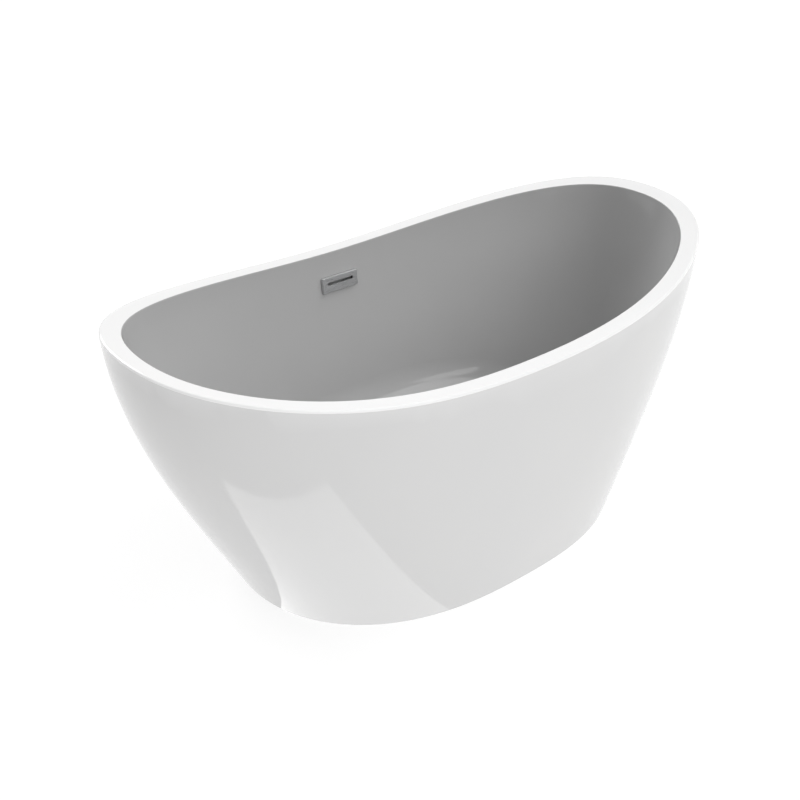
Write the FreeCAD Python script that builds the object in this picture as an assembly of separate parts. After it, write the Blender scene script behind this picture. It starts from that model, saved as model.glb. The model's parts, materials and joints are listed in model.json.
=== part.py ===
import FreeCAD, Part
import math
import os

# Freestanding double-slipper acrylic bath: a basin with a wave-shaped rim inside a tapering
# skirt, a hidden steel frame on four levelling feet, a slotted overflow at mid length and a
# push-to-open waste at the centre of the floor.
# Millimetres, +Z up, +X along the bath. The origin is on the floor under its centre.

Vec = FreeCAD.Vector
UP = Vec(0, 0, 1)
BACK = Vec(0, 1, 0)

# How far cutting tools run past the faces they cut, near ones and far ones
PAST = 1.0
FAR_PAST = 30.0

# How near an edge lies to where it is looked for
NEAR = 0.1

# Driving dimensions of the bath
LENGTH = 1500.0
WIDTH = 794.0
MID_HEIGHT = 585.0
END_HEIGHT = 684.0
BASE_LENGTH = 1020.0
BASE_WIDTH = 707.0
RIM_WIDTH = 39.0
RIM_THICKNESS = 6.0
RIM_OUTER_RADIUS = 4.0
RIM_INNER_RADIUS = 2.0
FLOOR_Z = 140.0
FLOOR_LENGTH = 940.0
FLOOR_WIDTH = 580.0
FLOOR_RADIUS = 100.0
ACRYLIC = 5.0
FIBREGLASS = 3.0
SKIRT_FOOT_Z = 6.0
SKIRT_LIP = 22.0
LOFT_TOP = END_HEIGHT + 20.0
RIM_SQUARENESS = (2.7, 2.2)

# Plan shape: 3rd and 5th harmonic of x, then of y, that square the oval's shoulders
RIM_TERMS = (-0.006, -0.022, 0.014, -0.029)
BASE_TERMS = (0.047, -0.015, 0.060, -0.014)
OUTLINE_POINTS = 48

# Wall profiles: how far the wall swells past a straight taper, and the slope of that swell
END_SWELL = (0.68, 0.32)
SIDE_SWELL = (0.85, 0.15)
INNER_END_SWELL = (0.50, 0.10)
INNER_SIDE_SWELL = (0.35, 0.0)
OUTER_LEVELS = (SKIRT_FOOT_Z, 50, 110, 190, 280, 370, 450, 520, 585, 640, LOFT_TOP)
INNER_STEPS = (0, 0.10, 0.22, 0.36, 0.50, 0.64, 0.78, 0.90, 1.0)

# Base board and steel frame
BOARD_LENGTH = 720.0
BOARD_WIDTH = 360.0
BOARD_THICKNESS = 15.0
BOARD_RADIUS = 40.0
BOARD_HOLE_RADIUS = 46.0
TUBE = 25.0
TUBE_WALL = 1.5
CROSS_X = 330.0
CROSS_LENGTH = 470.0
RAIL_Y = 150.0
CAP_DEPTH = 12.0
CAP_THICKNESS = 2.0
SCREW_RADIUS = 2.4
SCREW_HEAD_RADIUS = 5.0
SCREW_HEAD = 2.5
SCREW_BITE = 12.0
SCREW_SLOT_LENGTH = 8.0
SCREW_SLOT_WIDTH = 1.0
SCREW_SLOT_DEPTH = 1.0

# Levelling feet, M12 with a pitch of 1.75
FOOT_Y = 210.0
STUD_RADIUS = 6.0
STUD_PLAY = 0.05
STUD_HOLE_RADIUS = 7.0
STUD_TOP = 112.0
STUD_FOOT = 6.3
STUD_PIN_RADIUS = 5.0
STUD_CHAMFER = 1.0
HEX_FLATS = 19.0
HEX_FOOT = 20.0
HEX_HEIGHT = 8.0
WELD_NUT_HEIGHT = 10.0
LOCKNUT_HEIGHT = 7.0
PAD_RADIUS = 25.0
PAD_HEIGHT = 9.0
PAD_EDGE = 3.0
PAD_NECK_RADIUS = 11.0
PAD_NECK_TOP = 18.0
PAD_SOCKET_FOOT = 6.0

# Waste fitting at the centre of the floor
RECESS_RADIUS = 42.0
RECESS_DEPTH = 2.0
RECESS_CHAMFER = 5.0
DRAIN_HOLE_RADIUS = 24.5
GASKET = 1.5
REAR_GASKET = 3.0
FLANGE_RADIUS = 35.0
FLANGE_THICKNESS = 2.5
FLANGE_TUBE_RADIUS = 23.0
FLANGE_BORE_RADIUS = 20.5
FLANGE_TUBE_FOOT = 100.0
FLANGE_BEVEL = 1.0
SPIDER_Z = 114.0
SPIDER_HEIGHT = 5.0
SPIDER_WIDTH = 3.0
HUB_RADIUS = 7.0
HUB_HEIGHT = 14.0
PLUNGER_RADIUS = 4.0
PLUNGER_PLAY = 0.05
PLUNGER_FOOT = 104.0
CAP_RADIUS = 31.0
CAP_GAP = 0.5
CAP_EDGE = 2.5
CAP_CROWN = 2.5
CAP_ROUND = 1.0
PLUNGER_SOCKET = 2.0
SEAL_RADIUS = 20.0
SEAL_HEIGHT = 4.0
SEAL_INNER_RADIUS = 13.0
WASTE_FLANGE_RADIUS = 38.0
WASTE_FLANGE = 5.0
WASTE_RADIUS = 28.0
WASTE_WALL = 3.0
WASTE_SHOULDER = 60.0
WASTE_FOOT = 40.0
WASTE_STEP = 4.0
SPIGOT_ROOT = 1.0
OUTLET_RADIUS = 24.0
PIPE_COLLAR_RADIUS = 20.0
PIPE_RADIUS = 19.05
PIPE_WALL = 1.6
PIPE_TOP = 56.0
PIPE_FOOT = 8.0
NUT_FOOT = 30.0
NUT_LIP = 4.0
NUT_PLAY = 1.0
NUT_TOP = 50.0
NUT_RADIUS = 29.0
NUT_GRIPS = 8
GRIP_RADIUS = 2.5
INLET_Z = 74.0

# Overflow on the +Y wall
OVERFLOW_Z = 505.0
PLATE_LENGTH = 105.0
PLATE_HEIGHT = 39.0
PLATE_DEPTH = 7.0
PLATE_SHELL = 1.5
PLATE_EDGE = 1.0
SLOT_LENGTH = 78.0
SLOT_HEIGHT = 7.0
SLOT_RADIUS = 3.0
SLOT_RISE = 3.0
PORT_LENGTH = 76.0
PORT_HEIGHT = 22.0
PORT_RADIUS = 8.0
SEAL_INSET = 1.0
SEAL_CORNER = 2.0
BODY_LENGTH = 104.0
BODY_HEIGHT = 40.0
BODY_DEPTH = 22.0
BODY_WALL = 3.0
BODY_CORNER = 3.0
BODY_SCREW_X = 44.0
BODY_SCREW_RADIUS = 2.0
BODY_SCREW_HEAD_RADIUS = 3.8
BODY_SCREW_HEAD = 2.0
BODY_SCREW_LIFT = 0.3
BODY_SCREW_DEPTH = 18.0
BODY_SCREW_PLAY = 0.3
BODY_SLOT_LENGTH = 6.0
BODY_SLOT_WIDTH = 0.8
BODY_SLOT_DEPTH = 0.8

# Overflow hose
HOSE_RADIUS = 11.0
HOSE_WALL = 2.0
SPIGOT_WALL = 2.0
SPIGOT_LENGTH = 30.0
HOSE_OVERLAP = 22.0
HOSE_LEAD = 10.0
HOSE_TOP_RADIUS = 150.0
HOSE_BEND_RADIUS = 115.0
HOSE_LOW_Y = 343.0
HOSE_LOW_Z = 200.0
CLIP_WIDTH = 9.0
CLIP_THICKNESS = 1.0
CLIP_BLOCK_LENGTH = 10.0
CLIP_BLOCK_HEIGHT = 6.0
CLIP_BLOCK_WIDTH = 8.0


# ---- general shapes

def cylinder(radius, z_low, z_high, x=0.0, y=0.0):
    """An upright cylinder between two heights."""
    return Part.makeCylinder(radius, z_high - z_low, Vec(x, y, z_low), UP)


def ring(outer, inner, z_low, z_high, x=0.0, y=0.0):
    """An upright tube between two heights."""
    return cylinder(outer, z_low, z_high, x, y).cut(cylinder(inner, z_low - PAST, z_high + PAST, x, y))


def box(x_low, x_high, y_low, y_high, z_low, z_high):
    """A box between six planes."""
    size = (x_high - x_low, y_high - y_low, z_high - z_low)
    return Part.makeBox(*size, Vec(x_low, y_low, z_low))


def hexagon(across_flats, z_low, z_high, x, y):
    """An upright hexagonal prism."""
    corner = across_flats / math.sqrt(3)
    points = []
    for i in range(7):
        angle = math.radians(60 * i)
        points.append(Vec(x + corner * math.cos(angle), y + corner * math.sin(angle), z_low))
    return Part.Face(Part.makePolygon(points)).extrude(Vec(0, 0, z_high - z_low))


def rounded_slab(length, height, y_low, y_high, radius, z_middle=0.0):
    """A slab lying in the XZ plane with round corners, between two Y planes."""
    slab = box(-length / 2, length / 2, y_low, y_high, z_middle - height / 2, z_middle + height / 2)
    across = [e for e in slab.Edges if abs(e.tangentAt(0).y) > 0.99]
    return slab.makeFillet(radius, across)


def edges_at(shape, z):
    """The level edges at one height."""
    return [e for e in shape.Edges if abs(e.BoundBox.ZMin - z) + abs(e.BoundBox.ZMax - z) < NEAR]


def revolved(profile):
    """The solid that a list of (radius, z) corners makes when it turns about Z."""
    points = [Vec(r, 0, z) for r, z in profile]
    points.append(points[0])
    return Part.Face(Part.makePolygon(points)).revolve(Vec(0, 0, 0), UP, 360)


# ---- the bath's own surfaces

def swell(u, shape):
    """Wall profile: 0 at the foot, 1 at the rim, fuller than a straight taper in between."""
    amount, slope = shape
    return u + u * (1 - u) * (amount + slope * (2 * u - 1))


def outline(half_length, half_width, terms, z):
    """A closed smooth oval at one height."""
    x3, x5, y3, y5 = terms
    points = []
    for i in range(OUTLINE_POINTS):
        t = 2 * math.pi * i / OUTLINE_POINTS
        x = math.cos(t) + x3 * (math.cos(3 * t) - math.cos(t)) + x5 * (math.cos(5 * t) - math.cos(t))
        y = math.sin(t) + y3 * (math.sin(3 * t) + math.sin(t)) + y5 * (math.sin(5 * t) - math.sin(t))
        points.append(Vec(half_length * x, half_width * y, z))
    spline = Part.BSplineCurve()
    spline.interpolate(Points=points, PeriodicFlag=True, Parameters=list(range(OUTLINE_POINTS + 1)))
    return Part.Wire(spline.toShape())


def blend_terms(share):
    """The plan shape part of the way from the base's to the rim's."""
    return [low + (high - low) * share for low, high in zip(BASE_TERMS, RIM_TERMS)]


def outer_envelope(inset):
    """The bath's outside, moved inwards by inset, from the skirt's foot to above the rim."""
    wires = []
    for z in OUTER_LEVELS:
        u = min(z / END_HEIGHT, 1.0)
        v = min(z / MID_HEIGHT, 1.0)
        half_length = BASE_LENGTH / 2 + (LENGTH - BASE_LENGTH) / 2 * swell(u, END_SWELL)
        half_width = BASE_WIDTH / 2 + (WIDTH - BASE_WIDTH) / 2 * swell(v, SIDE_SWELL)
        wires.append(outline(half_length - inset, half_width - inset, blend_terms(u), z))
    return Part.makeLoft(wires, True, False)


def inner_half_width(z):
    """Half the basin's inner width at one height."""
    v = min((z - FLOOR_Z) / (MID_HEIGHT - FLOOR_Z), 1.0)
    return FLOOR_WIDTH / 2 + (WIDTH / 2 - RIM_WIDTH - FLOOR_WIDTH / 2) * swell(v, INNER_SIDE_SWELL)


def inner_half_length(z):
    """Half the basin's inner length at one height."""
    u = min((z - FLOOR_Z) / (END_HEIGHT - FLOOR_Z), 1.0)
    return FLOOR_LENGTH / 2 + (LENGTH / 2 - RIM_WIDTH - FLOOR_LENGTH / 2) * swell(u, INNER_END_SWELL)


def basin_hollow(thickness):
    """The space inside the basin, grown by a wall thickness, with its rounded floor."""
    wires = []
    for step in INNER_STEPS:
        z = FLOOR_Z + (LOFT_TOP - FLOOR_Z) * step
        u = min(z / END_HEIGHT, 1.0)
        z_moved = z - thickness * (1 - step)
        size = (inner_half_length(z) + thickness, inner_half_width(z) + thickness)
        wires.append(outline(*size, blend_terms(u), z_moved))
    solid = Part.makeLoft(wires, True, False)
    return solid.makeFillet(FLOOR_RADIUS + thickness, edges_at(solid, FLOOR_Z - thickness))


def wave_rise(x):
    """How far the rim's wave, one circular arc along the bath, stands above its middle."""
    rise = END_HEIGHT - MID_HEIGHT
    radius = ((LENGTH / 2) ** 2 + rise ** 2) / (2 * rise)
    return radius - math.sqrt(radius ** 2 - x ** 2)


def below_rim(drop):
    """Everything lower than the rim's wave, lowered by drop."""
    half = LENGTH / 2 + FAR_PAST
    middle = MID_HEIGHT - drop
    end = middle + wave_rise(half)
    left, right = Vec(-half, 0, end), Vec(half, 0, end)
    arc = Part.Arc(left, Vec(0, 0, middle), right).toShape()
    sides = Part.makePolygon([right, Vec(half, 0, -FAR_PAST), Vec(-half, 0, -FAR_PAST), left])
    face = Part.Face(Part.Wire([arc] + sides.Edges))
    solid = face.extrude(BACK * (WIDTH + 2 * FAR_PAST))
    solid.translate(BACK * (-WIDTH / 2 - FAR_PAST))
    return solid


def on_wall(shape):
    """Places a shape made with the overflow's wall in its XZ plane, +Y outwards."""
    step = 1.0
    rise = inner_half_width(OVERFLOW_Z + step) - inner_half_width(OVERFLOW_Z - step)
    placed = shape.copy()
    placed.rotate(Vec(0, 0, 0), Vec(1, 0, 0), -math.degrees(math.atan2(rise, 2 * step)))
    placed.translate(Vec(0, inner_half_width(OVERFLOW_Z), OVERFLOW_Z))
    return placed


def overflow_port():
    """The tool for the overflow's opening and its two screw holes in the wall."""
    tool = rounded_slab(PORT_LENGTH, PORT_HEIGHT, -FAR_PAST, FAR_PAST, PORT_RADIUS)
    for x in (-BODY_SCREW_X, BODY_SCREW_X):
        start = Vec(x, -FAR_PAST, 0)
        tool = tool.fuse(Part.makeCylinder(BODY_SCREW_RADIUS, 2 * FAR_PAST, start, BACK))
    return on_wall(tool)


# ---- shells

def on_rim_edge(point, outside):
    """Whether a point is on the rim's top, at its outer or its inner edge."""
    half_length = (LENGTH - RIM_WIDTH) / 2
    half_width = (WIDTH - RIM_WIDTH) / 2
    along, across = RIM_SQUARENESS
    spread = abs(point.x / half_length) ** along + abs(point.y / half_width) ** across
    return (spread > 1) == outside


def rim_edges(shape, outside):
    """The edges at the outside or the inside of the rim's top face."""
    found = []
    for edge in shape.Edges:
        point = edge.valueAt((edge.FirstParameter + edge.LastParameter) / 2)
        height = MID_HEIGHT + wave_rise(point.x)
        if abs(point.z - height) < NEAR / 2 and on_rim_edge(point, outside):
            found.append(edge)
    return found


def make_basin(envelope, hollow, grown):
    """Inner shell with the flat rim, the drain recess and the two openings."""
    wall = grown.common(below_rim(0)).cut(hollow)
    rim = envelope.common(below_rim(0)).cut(below_rim(RIM_THICKNESS)).cut(hollow)
    basin = wall.fuse(rim).removeSplitter()
    basin = basin.makeFillet(RIM_OUTER_RADIUS, rim_edges(basin, True))
    basin = basin.makeFillet(RIM_INNER_RADIUS, rim_edges(basin, False))
    foot = FLOOR_Z - RECESS_DEPTH
    recess = revolved([(0, foot), (RECESS_RADIUS, foot), (RECESS_RADIUS + RECESS_CHAMFER, FLOOR_Z),
                       (RECESS_RADIUS + RECESS_CHAMFER, FLOOR_Z + PAST), (0, FLOOR_Z + PAST)])
    hole = cylinder(DRAIN_HOLE_RADIUS, FLOOR_Z - FAR_PAST, FLOOR_Z + PAST)
    return basin.cut(recess).cut(hole).cut(overflow_port())


def make_basin_reinforcement(grown, grown_twice):
    """Glass-fibre layer on the back of the basin."""
    layer = grown_twice.common(below_rim(RIM_THICKNESS)).cut(grown)
    hole = cylinder(DRAIN_HOLE_RADIUS, FLOOR_Z - FAR_PAST, FLOOR_Z + PAST)
    return layer.cut(hole).cut(overflow_port())


def make_skirt(envelope, inside):
    """Outer shell from under the rim to just above the floor, with a lip turned in at its foot."""
    wall = envelope.common(below_rim(RIM_THICKNESS)).cut(inside)
    floor_slice = box(-LENGTH, LENGTH, -WIDTH, WIDTH, SKIRT_FOOT_Z - PAST, SKIRT_FOOT_Z + ACRYLIC)
    lip = envelope.common(floor_slice).cut(outer_envelope(SKIRT_LIP))
    return wall.fuse(lip).removeSplitter()


def make_skirt_reinforcement(inside, further_inside):
    """Glass-fibre layer on the back of the skirt."""
    layer = inside.common(below_rim(RIM_THICKNESS)).cut(further_inside)
    return layer.cut(box(-LENGTH, LENGTH, -WIDTH, WIDTH, 0, SKIRT_FOOT_Z + ACRYLIC))


# ---- base board and frame

BOARD_TOP = FLOOR_Z - ACRYLIC - FIBREGLASS
BOARD_FOOT = BOARD_TOP - BOARD_THICKNESS
TUBE_FOOT = BOARD_FOOT - TUBE
RAIL_HALF = CROSS_X - TUBE / 2


def frame_screw_places():
    """Where screws go up through the frame into the board."""
    places = []
    for side in (-1, 1):
        for end in (-1, 1):
            places.append((end * CROSS_X, side * RAIL_Y / 2))
            places.append((end * CROSS_X / 2, side * RAIL_Y))
    return places


def foot_places():
    """Where the four feet stand."""
    return [(-CROSS_X, -FOOT_Y), (CROSS_X, -FOOT_Y), (CROSS_X, FOOT_Y), (-CROSS_X, FOOT_Y)]


def make_base_board():
    """Rounded plywood board under the flat of the floor."""
    half_length, half_width = BOARD_LENGTH / 2, BOARD_WIDTH / 2
    board = box(-half_length, half_length, -half_width, half_width, BOARD_FOOT, BOARD_TOP)
    upright = [e for e in board.Edges if abs(e.tangentAt(0).z) > 0.99]
    board = board.makeFillet(BOARD_RADIUS, upright)
    board = board.cut(cylinder(BOARD_HOLE_RADIUS, BOARD_FOOT - PAST, BOARD_TOP + PAST))
    for x, y in frame_screw_places():
        board = board.cut(cylinder(SCREW_RADIUS, BOARD_FOOT - PAST, BOARD_FOOT + SCREW_BITE, x, y))
    return board


def with_frame_holes(tube):
    """Drills a tube for the screws and studs that cross it."""
    for x, y in frame_screw_places():
        tube = tube.cut(cylinder(SCREW_RADIUS, TUBE_FOOT - PAST, BOARD_FOOT + PAST, x, y))
    for x, y in foot_places():
        tube = tube.cut(cylinder(STUD_HOLE_RADIUS, TUBE_FOOT - PAST, BOARD_FOOT + PAST, x, y))
    return tube


def make_rail(side):
    """Square tube along the bath, between the two cross members."""
    y = side * RAIL_Y
    half = TUBE / 2
    inner = half - TUBE_WALL
    tube = box(-RAIL_HALF, RAIL_HALF, y - half, y + half, TUBE_FOOT, BOARD_FOOT)
    bore = box(-LENGTH, LENGTH, y - inner, y + inner, TUBE_FOOT + TUBE_WALL, BOARD_FOOT - TUBE_WALL)
    return with_frame_holes(tube.cut(bore))


def make_cross_member(end):
    """Square tube across the bath that carries two feet."""
    x = end * CROSS_X
    half = TUBE / 2
    inner = half - TUBE_WALL
    reach = CROSS_LENGTH / 2
    tube = box(x - half, x + half, -reach, reach, TUBE_FOOT, BOARD_FOOT)
    bore = box(x - inner, x + inner, -WIDTH, WIDTH, TUBE_FOOT + TUBE_WALL, BOARD_FOOT - TUBE_WALL)
    return with_frame_holes(tube.cut(bore))


def make_tube_caps():
    """Plastic plugs in the four open ends of the cross members."""
    half = TUBE / 2
    inner = half - TUBE_WALL
    reach = CROSS_LENGTH / 2
    caps = []
    for x in (-CROSS_X, CROSS_X):
        for side in (-1, 1):
            y_face = sorted((side * reach, side * (reach + CAP_THICKNESS)))
            y_plug = sorted((side * (reach - CAP_DEPTH), side * reach))
            head = box(x - half, x + half, *y_face, TUBE_FOOT, BOARD_FOOT)
            z_plug = (TUBE_FOOT + TUBE_WALL, BOARD_FOOT - TUBE_WALL)
            caps.append(head.fuse(box(x - inner, x + inner, *y_plug, *z_plug)).removeSplitter())
    return Part.makeCompound(caps)


def make_frame_screws():
    """Pan-head screws up through the tubes into the board."""
    screws = []
    foot = TUBE_FOOT - SCREW_HEAD
    half, reach = SCREW_SLOT_WIDTH / 2, SCREW_SLOT_LENGTH / 2
    for x, y in frame_screw_places():
        shank = cylinder(SCREW_RADIUS, foot, BOARD_FOOT + SCREW_BITE, x, y)
        head = cylinder(SCREW_HEAD_RADIUS, foot, TUBE_FOOT, x, y)
        slot = box(x - reach, x + reach, y - half, y + half, foot - PAST, foot + SCREW_SLOT_DEPTH)
        screws.append(shank.fuse(head).removeSplitter().cut(slot))
    return Part.makeCompound(screws)


# ---- levelling feet

def make_foot(x, y):
    """One foot's weld nut, lock nut, stud and pad, as a dictionary of solids."""
    nut_foot = TUBE_FOOT - WELD_NUT_HEIGHT
    lock_foot = nut_foot - LOCKNUT_HEIGHT
    bore = cylinder(STUD_RADIUS + STUD_PLAY, 0, TUBE_FOOT + PAST, x, y)
    stud = cylinder(STUD_RADIUS, HEX_FOOT, STUD_TOP, x, y)
    stud = stud.makeChamfer(STUD_CHAMFER, edges_at(stud, STUD_TOP))
    collar = hexagon(HEX_FLATS, HEX_FOOT, HEX_FOOT + HEX_HEIGHT, x, y)
    pin = cylinder(STUD_PIN_RADIUS, STUD_FOOT, HEX_FOOT, x, y)
    disc = cylinder(PAD_RADIUS, 0, PAD_HEIGHT, x, y)
    disc = disc.makeFillet(PAD_EDGE, edges_at(disc, PAD_HEIGHT))
    neck = cylinder(PAD_NECK_RADIUS, PAD_HEIGHT / 2, PAD_NECK_TOP, x, y)
    socket = cylinder(STUD_PIN_RADIUS + STUD_PLAY, PAD_SOCKET_FOOT, PAD_NECK_TOP + PAST, x, y)
    return {
        "nut": hexagon(HEX_FLATS, nut_foot, TUBE_FOOT, x, y).cut(bore),
        "locknut": hexagon(HEX_FLATS, lock_foot, nut_foot, x, y).cut(bore),
        "stud": stud.fuse(collar).fuse(pin).removeSplitter(),
        "pad": disc.fuse(neck).removeSplitter().cut(socket),
    }


# ---- waste

RECESS_FOOT = FLOOR_Z - RECESS_DEPTH
FLANGE_FOOT = RECESS_FOOT + GASKET
FLANGE_TOP = FLANGE_FOOT + FLANGE_THICKNESS
WASTE_TOP = BOARD_TOP - REAR_GASKET
CAP_FOOT = FLANGE_TOP + CAP_GAP
SPIGOT_RADIUS = HOSE_RADIUS - HOSE_WALL
INLET_END = WASTE_RADIUS + SPIGOT_LENGTH


def make_drain_flange():
    """Strainer flange with its threaded tube and the spider that guides the plunger."""
    shell = revolved([(FLANGE_BORE_RADIUS, FLANGE_TUBE_FOOT), (FLANGE_TUBE_RADIUS, FLANGE_TUBE_FOOT),
                      (FLANGE_TUBE_RADIUS, FLANGE_FOOT), (FLANGE_RADIUS, FLANGE_FOOT),
                      (FLANGE_RADIUS, FLANGE_FOOT + FLANGE_BEVEL),
                      (FLANGE_RADIUS - 2 * FLANGE_BEVEL, FLANGE_TOP),
                      (FLANGE_BORE_RADIUS + FLANGE_BEVEL, FLANGE_TOP),
                      (FLANGE_BORE_RADIUS, FLANGE_TOP - FLANGE_BEVEL)])
    reach = (FLANGE_BORE_RADIUS + FLANGE_TUBE_RADIUS) / 2
    half = SPIDER_WIDTH / 2
    top = SPIDER_Z + SPIDER_HEIGHT
    hub = cylinder(HUB_RADIUS, SPIDER_Z - HUB_HEIGHT / 2, SPIDER_Z + HUB_HEIGHT / 2)
    spider = hub.fuse([box(-reach, reach, -half, half, SPIDER_Z, top),
                       box(-half, half, -reach, reach, SPIDER_Z, top)])
    flange = shell.fuse(spider).removeSplitter()
    return flange.cut(cylinder(PLUNGER_RADIUS + PLUNGER_PLAY, PLUNGER_FOOT - FAR_PAST, FLANGE_TOP))


def make_stopper_cap():
    """Low cap with a rounded edge and a dome that is part of a sphere."""
    edge_top = CAP_FOOT + CAP_EDGE
    crown = edge_top + CAP_CROWN
    foot = Vec(0, 0, CAP_FOOT)
    rim_low = Vec(CAP_RADIUS - CAP_ROUND, 0, CAP_FOOT)
    rim_mid = Vec(CAP_RADIUS, 0, CAP_FOOT + CAP_EDGE / 2)
    rim_top = Vec(CAP_RADIUS - CAP_ROUND, 0, edge_top)
    sphere = (rim_top.x ** 2 + CAP_CROWN ** 2) / (2 * CAP_CROWN)
    half_way = rim_top.x / 2
    dome_mid = Vec(half_way, 0, crown - sphere + math.sqrt(sphere ** 2 - half_way ** 2))
    dome = Part.Arc(rim_top, dome_mid, Vec(0, 0, crown))
    edges = [
        Part.makeLine(foot, rim_low),
        Part.Arc(rim_low, rim_mid, rim_top).toShape(),
        dome.toShape(),
        Part.makeLine(Vec(0, 0, crown), foot),
    ]
    cap = Part.Face(Part.Wire(edges)).revolve(Vec(0, 0, 0), UP, 360)
    return cap.cut(cylinder(PLUNGER_RADIUS, CAP_FOOT - PAST, CAP_FOOT + PLUNGER_SOCKET))


def make_waste_body():
    """Tee under the floor: threaded top, side inlet for the overflow, outlet below."""
    bore = WASTE_RADIUS - WASTE_WALL
    thread_foot = FLANGE_TUBE_FOOT - WASTE_STEP
    body = revolved([(FLANGE_TUBE_RADIUS, WASTE_TOP), (WASTE_FLANGE_RADIUS, WASTE_TOP),
                     (WASTE_FLANGE_RADIUS, WASTE_TOP - WASTE_FLANGE),
                     (WASTE_RADIUS, WASTE_TOP - WASTE_FLANGE), (WASTE_RADIUS, WASTE_SHOULDER),
                     (OUTLET_RADIUS, WASTE_SHOULDER - WASTE_STEP), (OUTLET_RADIUS, WASTE_FOOT),
                     (PIPE_COLLAR_RADIUS, WASTE_FOOT), (PIPE_COLLAR_RADIUS, PIPE_TOP),
                     (PIPE_RADIUS - PIPE_WALL, PIPE_TOP), (bore, WASTE_SHOULDER),
                     (bore, thread_foot), (FLANGE_TUBE_RADIUS, thread_foot)])
    root = bore + SPIGOT_ROOT
    spigot = Part.makeCylinder(SPIGOT_RADIUS, INLET_END - root, Vec(0, root, INLET_Z), BACK)
    core = cylinder(bore + SPIGOT_ROOT / 2, WASTE_SHOULDER, FLANGE_TUBE_FOOT)
    body = body.fuse(spigot.cut(core)).removeSplitter()
    start = Vec(0, bore / 2, INLET_Z)
    return body.cut(Part.makeCylinder(SPIGOT_RADIUS - SPIGOT_WALL, INLET_END, start, BACK))


def make_tailpiece():
    """Outlet pipe with the collar that the compression nut holds."""
    inner = PIPE_RADIUS - PIPE_WALL
    collar_foot = NUT_FOOT - NUT_PLAY
    return revolved([(inner, PIPE_FOOT), (PIPE_RADIUS, PIPE_FOOT), (PIPE_RADIUS, collar_foot),
                     (PIPE_COLLAR_RADIUS, collar_foot), (PIPE_COLLAR_RADIUS, PIPE_TOP),
                     (inner, PIPE_TOP)])


def make_waste_nut():
    """Compression nut with grip ribs round its outside."""
    nut = revolved([(PIPE_COLLAR_RADIUS, NUT_FOOT), (NUT_RADIUS, NUT_FOOT), (NUT_RADIUS, NUT_TOP),
                    (OUTLET_RADIUS, NUT_TOP), (OUTLET_RADIUS, NUT_FOOT + NUT_LIP),
                    (PIPE_COLLAR_RADIUS, NUT_FOOT + NUT_LIP)])
    for i in range(NUT_GRIPS):
        angle = 2 * math.pi * i / NUT_GRIPS
        at = (NUT_RADIUS * math.cos(angle), NUT_RADIUS * math.sin(angle))
        nut = nut.fuse(cylinder(GRIP_RADIUS, NUT_FOOT, NUT_TOP, *at))
    return nut.removeSplitter().cut(cylinder(OUTLET_RADIUS, NUT_FOOT + NUT_LIP, NUT_TOP))


# ---- overflow

WALL_BACK = ACRYLIC + FIBREGLASS
BODY_FRONT = WALL_BACK + GASKET
HOSE_DEPTH = BODY_FRONT + BODY_DEPTH / 2


def make_overflow_faceplate():
    """Thin rectangular cover, hollow behind, with one long slot."""
    front = -GASKET - PLATE_DEPTH
    plate = box(-PLATE_LENGTH / 2, PLATE_LENGTH / 2, front, -GASKET, -PLATE_HEIGHT / 2, PLATE_HEIGHT / 2)
    visible = [e for e in plate.Edges if e.BoundBox.YMin < -GASKET - NEAR]
    plate = plate.makeFillet(PLATE_EDGE, visible)
    length = PLATE_LENGTH - 2 * PLATE_SHELL
    height = PLATE_HEIGHT - 2 * PLATE_SHELL
    hollow = rounded_slab(length, height, front + PLATE_SHELL, 0, PLATE_EDGE)
    slot = rounded_slab(SLOT_LENGTH, SLOT_HEIGHT, front - PAST, front + PLATE_SHELL + PAST,
                        SLOT_RADIUS, SLOT_RISE)
    return on_wall(plate.cut(hollow).cut(slot))


def make_overflow_gasket(hollow):
    """Seal between the cover and the basin's wall."""
    length, height = PLATE_LENGTH - 2 * SEAL_INSET, PLATE_HEIGHT - 2 * SEAL_INSET
    seal = rounded_slab(length, height, -GASKET, ACRYLIC, SEAL_CORNER)
    seal = seal.cut(rounded_slab(PORT_LENGTH, PORT_HEIGHT, -FAR_PAST, FAR_PAST, PORT_RADIUS))
    for x in (-BODY_SCREW_X, BODY_SCREW_X):
        start = Vec(x, -FAR_PAST, 0)
        seal = seal.cut(Part.makeCylinder(BODY_SCREW_HEAD_RADIUS, 2 * FAR_PAST, start, BACK))
    return on_wall(seal).common(hollow)


def make_overflow_rear_gasket(grown_twice):
    """Seal between the wall's back and the housing."""
    seal = rounded_slab(BODY_LENGTH, BODY_HEIGHT, ACRYLIC, BODY_FRONT, BODY_CORNER)
    return on_wall(seal).cut(grown_twice).cut(overflow_port())


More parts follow.
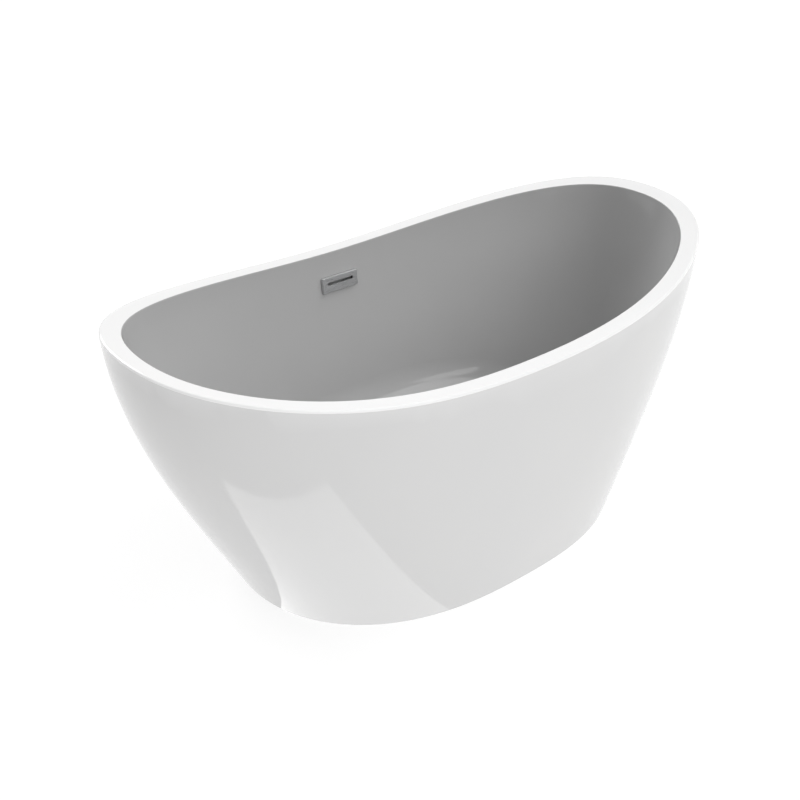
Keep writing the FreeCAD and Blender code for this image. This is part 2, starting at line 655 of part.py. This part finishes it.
def make_overflow_body():
    """Flat hollow housing behind the wall, with screw bosses and a hose spigot below."""
    back = BODY_FRONT + BODY_DEPTH
    shell = rounded_slab(BODY_LENGTH, BODY_HEIGHT, BODY_FRONT, back, BODY_CORNER)
    chamber = rounded_slab(PORT_LENGTH, BODY_HEIGHT - 2 * BODY_WALL, BODY_FRONT + BODY_WALL,
                           back - BODY_WALL, BODY_CORNER)
    mouth = rounded_slab(PORT_LENGTH, PORT_HEIGHT, BODY_FRONT - PAST, BODY_FRONT + BODY_WALL + PAST,
                         PORT_RADIUS)
    floor = -BODY_HEIGHT / 2
    foot = floor - SPIGOT_LENGTH
    spigot = cylinder(SPIGOT_RADIUS, foot, floor + SPIGOT_ROOT, 0, HOSE_DEPTH)
    bore = cylinder(SPIGOT_RADIUS - SPIGOT_WALL, foot - PAST, 0, 0, HOSE_DEPTH)
    body = shell.fuse(spigot).removeSplitter().cut(chamber).cut(mouth).cut(bore)
    for x in (-BODY_SCREW_X, BODY_SCREW_X):
        hole = Part.makeCylinder(BODY_SCREW_RADIUS, BODY_SCREW_DEPTH, Vec(x, 0, 0), BACK)
        body = body.cut(hole)
    return on_wall(body)


def make_overflow_screws():
    """Two screws from inside the bath, hidden by the cover."""
    screws = []
    front = -BODY_SCREW_HEAD - BODY_SCREW_LIFT
    reach, half = BODY_SLOT_LENGTH / 2, BODY_SLOT_WIDTH / 2
    for x in (-BODY_SCREW_X, BODY_SCREW_X):
        radius = BODY_SCREW_HEAD_RADIUS - BODY_SCREW_PLAY
        head = Part.makeCylinder(radius, BODY_SCREW_HEAD, Vec(x, front, 0), BACK)
        shank = Part.makeCylinder(BODY_SCREW_RADIUS, BODY_SCREW_DEPTH - front, Vec(x, front, 0), BACK)
        slot = box(x - reach, x + reach, front - PAST, front + BODY_SLOT_DEPTH, -half, half)
        screws.append(on_wall(head.fuse(shank).removeSplitter().cut(slot)))
    return Part.makeCompound(screws)


def hose_route():
    """The hose's centre line: down the wall, one wide bend, then level to the waste."""
    spigot_end = -BODY_HEIGHT / 2 - SPIGOT_LENGTH
    start = on_wall(Part.Vertex(0, HOSE_DEPTH, spigot_end + HOSE_OVERLAP)).Point
    foot = on_wall(Part.Vertex(0, HOSE_DEPTH, spigot_end - HOSE_LEAD)).Point
    low = Vec(0, HOSE_LOW_Y, HOSE_LOW_Z)
    down = (low - foot).normalize()
    corner = low + down * ((low.z - INLET_Z) / -down.z)
    end = Vec(0, INLET_END - HOSE_OVERLAP, INLET_Z)
    return [start, foot, corner, end]


def rounded_path(points, radii):
    """Straight runs joined by tangent arcs."""
    edges = []
    at = points[0]
    for before, corner, after, radius in zip(points, points[1:], points[2:], radii):
        into = (corner - before).normalize()
        out = (after - corner).normalize()
        turn = into.getAngle(out)
        back = radius * math.tan(turn / 2)
        first, last = corner - into * back, corner + out * back
        inward = (out - into).normalize()
        centre = corner + inward * (radius / math.cos(turn / 2))
        edges.append(Part.makeLine(at, first))
        edges.append(Part.Arc(first, centre - inward * radius, last).toShape())
        at = last
    edges.append(Part.makeLine(at, points[-1]))
    return Part.Wire(edges)


def make_hose():
    """Flexible hose from the overflow housing to the waste."""
    points = hose_route()
    path = rounded_path(points, [HOSE_TOP_RADIUS, HOSE_BEND_RADIUS])
    direction = (points[1] - points[0]).normalize()
    tubes = []
    for radius in (HOSE_RADIUS, HOSE_RADIUS - HOSE_WALL):
        circle = Part.Wire(Part.makeCircle(radius, points[0], direction))
        tubes.append(path.makePipeShell([circle], True, False))
    return tubes[0].cut(tubes[1])


def make_hose_clip(point, direction):
    """Band round the hose with its tightening screw's block."""
    outer = HOSE_RADIUS + CLIP_THICKNESS
    start = point - direction * (CLIP_WIDTH / 2)
    band = Part.makeCylinder(outer, CLIP_WIDTH, start, direction)
    block = Part.makeBox(CLIP_BLOCK_LENGTH, CLIP_BLOCK_HEIGHT, CLIP_BLOCK_WIDTH)
    block.translate(Vec(-CLIP_BLOCK_LENGTH / 2, -CLIP_BLOCK_HEIGHT - HOSE_RADIUS, -CLIP_BLOCK_WIDTH / 2))
    block.Placement = FreeCAD.Placement(point, FreeCAD.Rotation(UP, direction)).multiply(block.Placement)
    clip = band.fuse(block).removeSplitter()
    bore_start = point - direction * CLIP_WIDTH
    return clip.cut(Part.makeCylinder(HOSE_RADIUS, 2 * CLIP_WIDTH, bore_start, direction))


# ---- assembly

def shells():
    """The acrylic shells, their glass-fibre backs and the overflow pieces that fit them."""
    envelope = outer_envelope(0)
    inside = outer_envelope(ACRYLIC)
    further_inside = outer_envelope(ACRYLIC + FIBREGLASS)
    hollow = basin_hollow(0)
    grown = basin_hollow(ACRYLIC)
    grown_twice = basin_hollow(ACRYLIC + FIBREGLASS)
    return {
        "basin": make_basin(envelope, hollow, grown),
        "basin_reinforcement": make_basin_reinforcement(grown, grown_twice),
        "skirt": make_skirt(envelope, inside),
        "skirt_reinforcement": make_skirt_reinforcement(inside, further_inside),
        "overflow_gasket": make_overflow_gasket(hollow),
        "overflow_rear_gasket": make_overflow_rear_gasket(grown_twice),
    }


def frame():
    """The board, the welded frame and the four feet."""
    nodes = {
        "base_board": make_base_board(),
        "frame_rail_left": make_rail(1),
        "frame_rail_right": make_rail(-1),
        "cross_member_1": make_cross_member(-1),
        "cross_member_2": make_cross_member(1),
        "tube_end_caps": make_tube_caps(),
        "frame_screws": make_frame_screws(),
    }
    for number, place in enumerate(foot_places(), start=1):
        for name, shape in make_foot(*place).items():
            nodes[f"foot_{number}_{name}"] = shape
    return nodes


def waste():
    """The drain fitting, its plug and the outlet."""
    seal_foot = CAP_FOOT - SEAL_HEIGHT
    return {
        "drain_flange": make_drain_flange(),
        "drain_gasket": ring(FLANGE_RADIUS - 1, DRAIN_HOLE_RADIUS, RECESS_FOOT, FLANGE_FOOT),
        "drain_rear_gasket": ring(WASTE_FLANGE_RADIUS, DRAIN_HOLE_RADIUS, WASTE_TOP, BOARD_TOP),
        "waste_body": make_waste_body(),
        "waste_nut": make_waste_nut(),
        "waste_washer": ring(OUTLET_RADIUS, PIPE_COLLAR_RADIUS, NUT_FOOT + NUT_LIP, WASTE_FOOT),
        "tailpiece": make_tailpiece(),
        "stopper_cap": make_stopper_cap(),
        "stopper_seal": ring(SEAL_RADIUS, SEAL_INNER_RADIUS, seal_foot, CAP_FOOT),
        "stopper_plunger": cylinder(PLUNGER_RADIUS, PLUNGER_FOOT, CAP_FOOT + PLUNGER_SOCKET),
    }


def overflow():
    """The overflow's cover, housing, hose and clips."""
    points = hose_route()
    down = (points[1] - points[0]).normalize()
    top = points[0] + down * (HOSE_OVERLAP / 2)
    bottom = points[-1] + Vec(0, HOSE_OVERLAP / 2, 0)
    return {
        "overflow_faceplate": make_overflow_faceplate(),
        "overflow_body": make_overflow_body(),
        "overflow_screws": make_overflow_screws(),
        "overflow_hose": make_hose(),
        "overflow_hose_clip_top": make_hose_clip(top, down),
        "overflow_hose_clip_bottom": make_hose_clip(bottom, Vec(0, -1, 0)),
    }


def main():
    """Writes one STEP file for each node."""
    os.makedirs("parts", exist_ok=True)
    for group in (shells(), frame(), waste(), overflow()):
        for name, shape in group.items():
            shape.exportStep(f"parts/{name}.step")
            print(name, "valid", shape.isValid(), "solids", len(shape.Solids),
                  "litres", round(shape.Volume / 1e6, 4))


main()
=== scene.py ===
import json
import math

import bpy
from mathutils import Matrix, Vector

# A freestanding double-slipper bath in a plain studio. Metres, +Z up, +X along the bath.

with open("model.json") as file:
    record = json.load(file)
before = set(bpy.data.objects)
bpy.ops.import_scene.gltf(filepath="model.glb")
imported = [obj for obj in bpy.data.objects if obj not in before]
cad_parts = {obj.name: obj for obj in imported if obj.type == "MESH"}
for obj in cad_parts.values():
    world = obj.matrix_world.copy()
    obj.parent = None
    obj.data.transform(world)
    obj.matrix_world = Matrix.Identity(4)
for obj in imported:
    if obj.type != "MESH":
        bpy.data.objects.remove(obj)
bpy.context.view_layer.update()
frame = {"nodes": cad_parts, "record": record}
NODES = frame["nodes"]
SCENE = bpy.context.scene

# ---- materials

# How pointed a surface is where an edge starts to show, and where it shows fully
EDGE_POINTINESS = (0.52, 0.60)

# Cast acrylic: its gloss, its tones from low to high, and where the basin turns from its white rim to its
# inside, which is painted grey as shade
ACRYLIC_GLOSS = {"IOR": 1.47, "Specular_IOR_Level": 0.42}
# The skirt is the rim's white acrylic painted darker: painted shade on its upright sides
SKIRT_PAINTED_SHADE_TONES = (0.68, 0.70)
# Painted highlight: the skirt's sharp edges are painted paler, as if catching the light
SKIRT_EDGE_HIGHLIGHT = 0.76
RIM_TONES = (0.94, 0.96)
# The inside is the rim's white acrylic painted mid grey: painted shade in the basin
INSIDE_PAINTED_SHADE_TONES = (0.49, 0.51)
TONE_PATCHES = 2.2
WARM = 0.004
INWARD_FACING = (-0.55, -0.35)
INSIDE_HEIGHT = (0.50, 0.52)


class Surface:
    """A material being put together: its shader, and short ways to add nodes to it."""

    def __init__(self, name, **settings):
        self.material = bpy.data.materials.new(name)
        self.material.use_nodes = True
        self.tree = self.material.node_tree
        self.shader = self.tree.nodes["Principled BSDF"]
        self.place = self.node("ShaderNodeTexCoord").outputs["Object"]
        for socket, value in settings.items():
            self.shader.inputs[socket.replace("_", " ")].default_value = value

    def node(self, kind, **settings):
        """A node with its inputs set by name; values that are sockets are linked."""
        made = self.tree.nodes.new(kind)
        for name, value in settings.items():
            socket = made.inputs[name.replace("_", " ")]
            if isinstance(value, bpy.types.NodeSocket):
                self.tree.links.new(value, socket)
            else:
                socket.default_value = value
        return made

    def to_shader(self, socket, value):
        """Links a node's output to one of the shader's inputs."""
        self.tree.links.new(value, self.shader.inputs[socket])

    def noise(self, scale, detail=3.0, stretch=(1, 1, 1), distortion=0.0):
        """Soft noise over the object, stretched along an axis if asked."""
        mapping = self.node("ShaderNodeMapping", Vector=self.place, Scale=stretch)
        made = self.node("ShaderNodeTexNoise", Vector=mapping.outputs[0], Scale=scale,
                         Detail=detail, Distortion=distortion)
        return made.outputs["Fac"]

    def spread(self, value, low, high, start=0.3, end=0.7):
        """Maps a noise value to a range."""
        made = self.node("ShaderNodeMapRange", Value=value)
        made.inputs["From Min"].default_value = start
        made.inputs["From Max"].default_value = end
        made.inputs["To Min"].default_value = low
        made.inputs["To Max"].default_value = high
        return made.outputs[0]

    def mix(self, factor, first, second):
        """A colour between two colours."""
        made = self.tree.nodes.new("ShaderNodeMix")
        made.data_type = "RGBA"
        for socket, value in zip((made.inputs[0], made.inputs[6], made.inputs[7]), (factor, first, second)):
            if isinstance(value, bpy.types.NodeSocket):
                self.tree.links.new(value, socket)
            else:
                socket.default_value = value
        return made.outputs[2]

    def bump(self, height, distance, strength=1.0, normal=None):
        """A bump from a height value, on top of another normal if given."""
        made = self.node("ShaderNodeBump", Height=height, Distance=distance, Strength=strength)
        if normal is not None:
            self.tree.links.new(normal, made.inputs["Normal"])
        return made.outputs[0]

    def edges(self):
        """Nearly 1 on sharp outer edges and 0 elsewhere."""
        pointed = self.tree.nodes.new("ShaderNodeNewGeometry").outputs["Pointiness"]
        return self.spread(pointed, 0.0, 1.0, *EDGE_POINTINESS)


def grey(value, warmth=0.0):
    """An opaque grey, a little warm or cool."""
    return (value * (1 + warmth), value, value * (1 - warmth), 1.0)


def acrylic_finish(surface):
    """Gloss of cast acrylic: faint haze, barely visible ripple in its reflections."""
    haze = surface.spread(surface.noise(9.0, 4.0), 0.07, 0.11)
    surface.to_shader("Roughness", haze)
    ripple = surface.bump(surface.noise(5.0, 1.0), 0.0006, 0.5)
    peel = surface.bump(surface.noise(420.0, 2.0), 0.00002, 0.4, ripple)
    surface.to_shader("Normal", peel)


def white_acrylic():
    """The skirt's gloss white acrylic, painted light grey as shade so that it reads as white in this light;
    its sharp edges get a painted highlight.
    """
    surface = Surface("white_acrylic", **ACRYLIC_GLOSS)
    tone = surface.spread(surface.noise(TONE_PATCHES, 2.0), 0.0, 1.0)
    body = surface.mix(tone, grey(SKIRT_PAINTED_SHADE_TONES[0]), grey(SKIRT_PAINTED_SHADE_TONES[1], WARM))
    # Painted highlight on the skirt's sharp edges, over its painted shade
    surface.to_shader("Base Color", surface.mix(surface.edges(), body, grey(SKIRT_EDGE_HIGHLIGHT)))
    acrylic_finish(surface)
    return surface.material


def basin_acrylic():
    """The basin: white on the rim, mid grey painted shade on the walls and floor inside."""
    surface = Surface("basin_acrylic", **ACRYLIC_GLOSS)
    # Painted shade mask: faces turned towards the bath's middle, and everything low down, get the inside
    # grey
    geometry = surface.tree.nodes.new("ShaderNodeNewGeometry")
    flat = surface.node("ShaderNodeVectorMath", Vector=geometry.outputs["Position"])
    flat.operation = "MULTIPLY"
    flat.inputs[1].default_value = (1.0, 1.0, 0.0)
    unit = surface.node("ShaderNodeVectorMath", Vector=flat.outputs[0])
    unit.operation = "NORMALIZE"
    facing = surface.tree.nodes.new("ShaderNodeVectorMath")
    facing.operation = "DOT_PRODUCT"
    surface.tree.links.new(unit.outputs[0], facing.inputs[0])
    surface.tree.links.new(geometry.outputs["Normal"], facing.inputs[1])
    inward = surface.spread(facing.outputs["Value"], 1.0, 0.0, *INWARD_FACING)
    height = surface.node("ShaderNodeSeparateXYZ", Vector=geometry.outputs["Position"]).outputs["Z"]
    low = surface.spread(height, 1.0, 0.0, *INSIDE_HEIGHT)
    inside = surface.node("ShaderNodeMath")
    inside.operation = "MAXIMUM"
    surface.tree.links.new(inward, inside.inputs[0])
    surface.tree.links.new(low, inside.inputs[1])
    tone = surface.spread(surface.noise(TONE_PATCHES, 2.0), 0.0, 1.0)
    white = surface.mix(tone, grey(RIM_TONES[0]), grey(RIM_TONES[1], WARM))
    shade = surface.mix(tone, grey(INSIDE_PAINTED_SHADE_TONES[0]), grey(INSIDE_PAINTED_SHADE_TONES[1]))
    surface.to_shader("Base Color", surface.mix(inside.outputs[0], white, shade))
    acrylic_finish(surface)
    return surface.material


def glass_fibre():
    """Rough resin laminate with the chopped strands showing."""
    surface = Surface("glass_fibre", Roughness=0.55)
    strands = surface.noise(140.0, 6.0, (1, 6, 2), 2.0)
    other = surface.noise(140.0, 6.0, (6, 1, 2), 2.0)
    mixed = surface.mix(surface.spread(strands, 0.0, 1.0), (0.62, 0.64, 0.55, 1), (0.80, 0.81, 0.74, 1))
    crossed = surface.spread(other, 0.0, 0.6)
    surface.to_shader("Base Color", surface.mix(crossed, mixed, (0.70, 0.70, 0.60, 1)))
    surface.to_shader("Roughness", surface.spread(other, 0.35, 0.75))
    lumps = surface.bump(surface.noise(18.0, 3.0), 0.002, 0.7)
    surface.to_shader("Normal", surface.bump(strands, 0.0006, 0.8, lumps))
    return surface.material


def plywood():
    """Birch faces with long grain, darker glue lines on the edges."""
    surface = Surface("plywood", Roughness=0.6)
    grain = surface.noise(26.0, 6.0, (1, 14, 1), 1.2)
    along_grain = surface.spread(grain, 0.0, 1.0)
    face = surface.mix(along_grain, (0.66, 0.49, 0.31, 1), (0.78, 0.62, 0.43, 1))
    stripes = surface.node("ShaderNodeTexWave", Vector=surface.place, Scale=64.0, Distortion=0.6)
    stripes.bands_direction = "Z"
    geometry = surface.tree.nodes.new("ShaderNodeNewGeometry")
    upright = surface.node("ShaderNodeSeparateXYZ", Vector=geometry.outputs["Normal"]).outputs["Z"]
    flat = surface.node("ShaderNodeMath")
    flat.operation = "ABSOLUTE"
    surface.tree.links.new(upright, flat.inputs[0])
    on_edge = surface.spread(flat.outputs[0], 1.0, 0.0, 0.2, 0.6)
    layer = surface.mix(surface.spread(stripes.outputs["Fac"], 0.0, 1.0, 0.4, 0.6),
                        (0.42, 0.27, 0.15, 1), (0.74, 0.58, 0.39, 1))
    surface.to_shader("Base Color", surface.mix(on_edge, face, layer))
    surface.to_shader("Roughness", surface.spread(grain, 0.5, 0.75))
    surface.to_shader("Normal", surface.bump(grain, 0.0004, 0.7))
    return surface.material


def metal(name, low, high, rough, brushed=(1, 1, 1), tint=0.0, scale=90.0):
    """A metal with streaks or blotches, brighter on its worn edges."""
    surface = Surface(name, Metallic=1.0)
    streaks = surface.noise(scale, 5.0, brushed)
    body = surface.mix(surface.spread(streaks, 0.0, 1.0), grey(low, tint), grey(high, tint))
    surface.to_shader("Base Color", surface.mix(surface.edges(), body, grey(min(high * 1.2, 0.95), tint)))
    surface.to_shader("Roughness", surface.spread(streaks, rough * 0.75, rough * 1.3))
    surface.to_shader("Normal", surface.bump(streaks, 0.00005, 0.35))
    return surface.material


def galvanised():
    """Zinc-coated tube with its spangle."""
    surface = Surface("galvanised_steel", Metallic=0.9)
    cells = surface.node("ShaderNodeTexVoronoi", Vector=surface.place, Scale=120.0)
    tone = surface.node("ShaderNodeSeparateColor", Color=cells.outputs["Color"]).outputs[0]
    surface.to_shader("Base Color", surface.mix(tone, grey(0.42, -0.02), grey(0.62, -0.02)))
    surface.to_shader("Roughness", surface.spread(tone, 0.3, 0.55, 0.0, 1.0))
    surface.to_shader("Normal", surface.bump(surface.noise(60.0, 4.0), 0.0001, 0.5))
    return surface.material


def moulded(name, low, high, rough, grain=260.0, depth=0.00008, tint=0.0):
    """Moulded plastic or rubber: fine grain, paler on rubbed edges."""
    surface = Surface(name)
    tone = surface.spread(surface.noise(30.0, 4.0), 0.0, 1.0)
    body = surface.mix(tone, grey(low, tint), grey(high, tint))
    rubbed = min(high * 1.35 + 0.02, 0.92)
    surface.to_shader("Base Color", surface.mix(surface.edges(), body, grey(rubbed, tint)))
    surface.to_shader("Roughness", surface.spread(surface.noise(45.0, 3.0), rough * 0.85, rough * 1.15))
    surface.to_shader("Normal", surface.bump(surface.noise(grain, 3.0), depth, 0.6))
    return surface.material


def make_materials():
    """One material for each of the record's slots, and the basin's own."""
    return {
        "acrylic": white_acrylic(),
        "basin": basin_acrylic(),
        "glass_fibre": glass_fibre(),
        "plywood": plywood(),
        "galvanised_steel": galvanised(),
        "zinc_fasteners": metal("zinc_fasteners", 0.50, 0.68, 0.35, tint=0.03),
        "satin_chrome": metal("satin_chrome", 0.50, 0.60, 0.34, (1, 1, 18), -0.01, 60.0),
        "polished_chrome": metal("polished_chrome", 0.72, 0.80, 0.09, scale=25.0),
        "polished_brass": metal("polished_brass", 0.60, 0.70, 0.2, tint=0.35),
        "black_plastic": moulded("black_plastic", 0.018, 0.028, 0.45),
        "seal_rubber": moulded("seal_rubber", 0.02, 0.03, 0.7),
        "waste_plastic": moulded("waste_plastic", 0.72, 0.78, 0.35),
        "hose_plastic": moulded("hose_plastic", 0.62, 0.68, 0.4),
    }


def dress(materials):
    """Gives every CAD node its slot's material."""
    for part in frame["record"]["subparts"]:
        node = NODES[part["node"]]
        chosen = materials["basin"] if part["node"] == "basin" else materials[part["material_slot"]]
        node.data.materials.clear()
        node.data.materials.append(chosen)


# ---- studio: degrees, metres and Blender's own light units

CAMERA_AZIMUTH = -39.18
CAMERA_ELEVATION = 30.44
CAMERA_DISTANCE = 2.7826
CAMERA_TARGET = Vector((0.0332, 0.0802, 0.2617))
CAMERA_LENS = 50.57
CAMERA_SHIFT = (-0.0207, 0.003)
CAMERA_SENSOR = 36.0
CAMERA_REACH = 200.0

FLOOR_SIZE = 60.0
FLOOR_GLOW = 0.80
FLOOR_TONES = (0.24, 0.26)
FLOOR_PATCHES = 0.4

# A panel beside the bath that only gloss reflects
PANEL_CORNERS = ((-0.62, -0.68), (-0.10, -0.25), (-0.30, -0.07), (-0.96, -0.14))
PANEL_LIFT = 0.001
PANEL_GLOW = 2.3

# The backdrop as the camera sees it, and the same sky as it lights the bath
BACKDROP = 1.0
SKY = 0.34
SUN_WIDTH = 38.0

# Broad lights: azimuth, elevation, power
SUNS = {
    "front": (4, 32, 0.78),
    "front_right": (45, 60, 0.80),
    "right": (95, 50, 0.50),
    "back": (180, 30, 1.55),
}


def make_camera():
    """The camera, looking down on the bath from its left front."""
    azimuth, elevation = math.radians(CAMERA_AZIMUTH), math.radians(CAMERA_ELEVATION)
    level = math.cos(elevation)
    back = Vector((math.sin(azimuth) * level, -math.cos(azimuth) * level, math.sin(elevation)))
    data = bpy.data.cameras.new("camera")
    data.lens = CAMERA_LENS
    data.sensor_width = CAMERA_SENSOR
    data.shift_x, data.shift_y = CAMERA_SHIFT
    data.clip_end = CAMERA_REACH
    camera = bpy.data.objects.new("camera", data)
    camera.location = CAMERA_TARGET + back * CAMERA_DISTANCE
    camera.rotation_mode = "QUATERNION"
    camera.rotation_quaternion = (-back).to_track_quat("-Z", "Y")
    SCENE.collection.objects.link(camera)
    SCENE.camera = camera


def stage_sheet(name, corners, material):
    """A flat staged face on these corners."""
    mesh = bpy.data.meshes.new(name)
    mesh.from_pydata(corners, [], [tuple(range(len(corners)))])
    mesh.materials.append(material)
    sheet = bpy.data.objects.new(name, mesh)
    SCENE.collection.objects.link(sheet)
    return sheet


def make_floor():
    """A plain pale floor, lit a little from within."""
    half = FLOOR_SIZE / 2
    corners = [(-half, -half, 0), (half, -half, 0), (half, half, 0), (-half, half, 0)]
    surface = Surface("floor", Roughness=0.9, Specular_IOR_Level=0.0, Emission_Color=(1, 1, 1, 1),
                      Emission_Strength=FLOOR_GLOW)
    tone = surface.spread(surface.noise(FLOOR_PATCHES), 0, 1)
    surface.to_shader("Base Color", surface.mix(tone, grey(FLOOR_TONES[0]), grey(FLOOR_TONES[1])))
    stage_sheet("studio_floor", corners, surface.material)


def make_panel():
    """A light panel lying beside the bath, seen only as a patch of gloss on the skirt."""
    surface = Surface("panel", Base_Color=(0, 0, 0, 1), Specular_IOR_Level=0.0,
                      Emission_Color=(1, 1, 1, 1), Emission_Strength=PANEL_GLOW)
    panel = stage_sheet("light_panel", [(x, y, PANEL_LIFT) for x, y in PANEL_CORNERS], surface.material)
    panel.visible_camera = False
    panel.visible_diffuse = False
    panel.visible_shadow = False


def soft_sun(name, azimuth, elevation, power):
    """A broad distant light; azimuth 0 is in front of the bath, and it grows towards +X."""
    azimuth, elevation = math.radians(azimuth), math.radians(elevation)
    level = math.cos(elevation)
    towards = Vector((math.sin(azimuth) * level, -math.cos(azimuth) * level, math.sin(elevation)))
    data = bpy.data.lights.new(name, "SUN")
    data.energy = power
    data.angle = math.radians(SUN_WIDTH)
    light = bpy.data.objects.new(name, data)
    light.rotation_mode = "QUATERNION"
    light.rotation_quaternion = (-towards).to_track_quat("-Z", "Y")
    SCENE.collection.objects.link(light)


def make_lights():
    """A dim even sky behind a white backdrop, four broad lights round the bath, and the panel."""
    world = bpy.data.worlds.new("studio")
    world.use_nodes = True
    tree = world.node_tree
    background = tree.nodes["Background"]
    background.inputs["Color"].default_value = (1, 1, 1, 1)
    strength = tree.nodes.new("ShaderNodeMapRange")
    strength.inputs["To Min"].default_value = SKY
    strength.inputs["To Max"].default_value = BACKDROP
    path = tree.nodes.new("ShaderNodeLightPath")
    tree.links.new(path.outputs["Is Camera Ray"], strength.inputs["Value"])
    tree.links.new(strength.outputs[0], background.inputs["Strength"])
    SCENE.world = world
    for name, settings in SUNS.items():
        soft_sun(name, *settings)
    make_panel()


make_camera()
make_floor()
make_lights()
dress(make_materials())
SCENE.view_settings.view_transform = "Standard"
